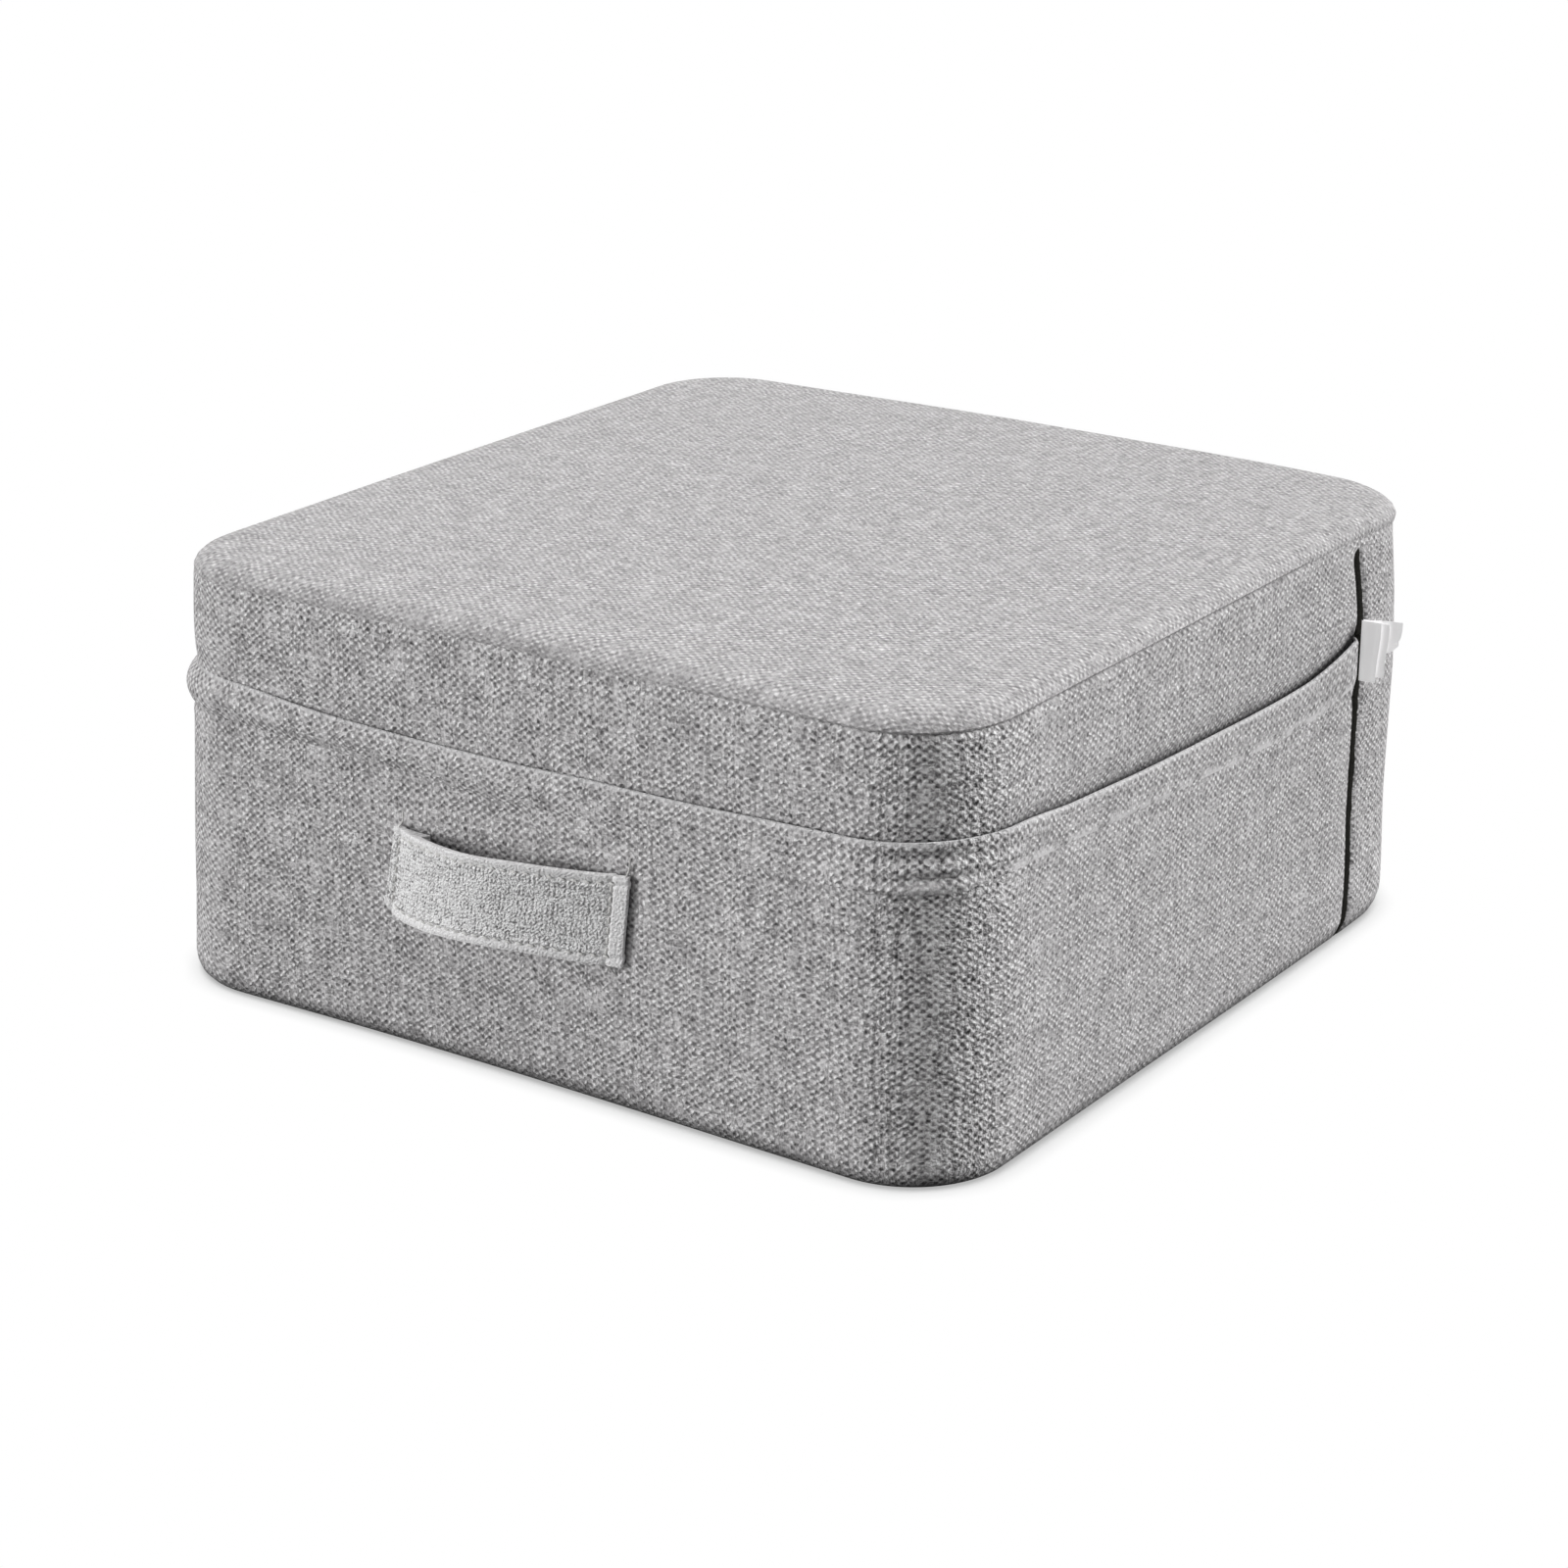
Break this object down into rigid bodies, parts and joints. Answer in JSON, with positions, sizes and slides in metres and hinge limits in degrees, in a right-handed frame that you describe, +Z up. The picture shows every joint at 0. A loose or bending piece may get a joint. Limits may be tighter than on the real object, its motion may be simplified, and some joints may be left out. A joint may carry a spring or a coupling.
{
  "type": "fabric storage bin",
  "caption": "Square fabric storage bin with rounded corners, a padded flip lid that sits inside a fabric collar, and a strap handle on the front.",
  "frame": {"origin": "middle of the base, on the surface that the bin stands on", "axes": "+Z up; the front with the strap handle faces -Y; the lid is hinged at the back, +Y; +X is the right-hand side seen from the front"},
  "size_m": [0.2006, 0.1992, 0.091],
  "materials": {
    "outer_fabric": "coarse heathered grey linen-look weave",
    "strap_webbing": "plain light grey webbing",
    "lining_fabric": "thin plain light grey cloth",
    "seam_tape": "matt near-black binding",
    "label_ribbon": "white satin ribbon, blank",
    "foam": "open-cell foam",
    "greyboard": "matt grey pulp board"
  },
  "bodies": {
    "case": {"base_cover": "outer_fabric", "case_cover": "outer_fabric", "rear_cover": "outer_fabric", "collar": "outer_fabric", "wall_padding": "foam", "front_board": "greyboard", "rear_board": "greyboard", "left_board": "greyboard", "right_board": "greyboard", "corner_strips": "greyboard", "base_board": "greyboard", "wall_lining": "lining_fabric", "base_lining": "lining_fabric", "handle_strap": "strap_webbing", "case_seam_tapes": "seam_tape", "care_label": "label_ribbon", "hinge_fold": "outer_fabric"},
    "lid": {"lid_top_cover": "outer_fabric", "lid_side_cover": "outer_fabric", "lid_rear_cover": "outer_fabric", "lid_lining": "lining_fabric", "lid_board": "greyboard", "lid_foam": "foam", "lid_seam_tapes": "seam_tape"}
  },
  "joints": [
    {"name": "lid_hinge", "type": "hinge", "parent": "case", "child": "lid", "pos_m": [0, 0.095, 0.05915], "axis": [-1, 0, 0], "range_deg": [0, 170]}
  ]
}
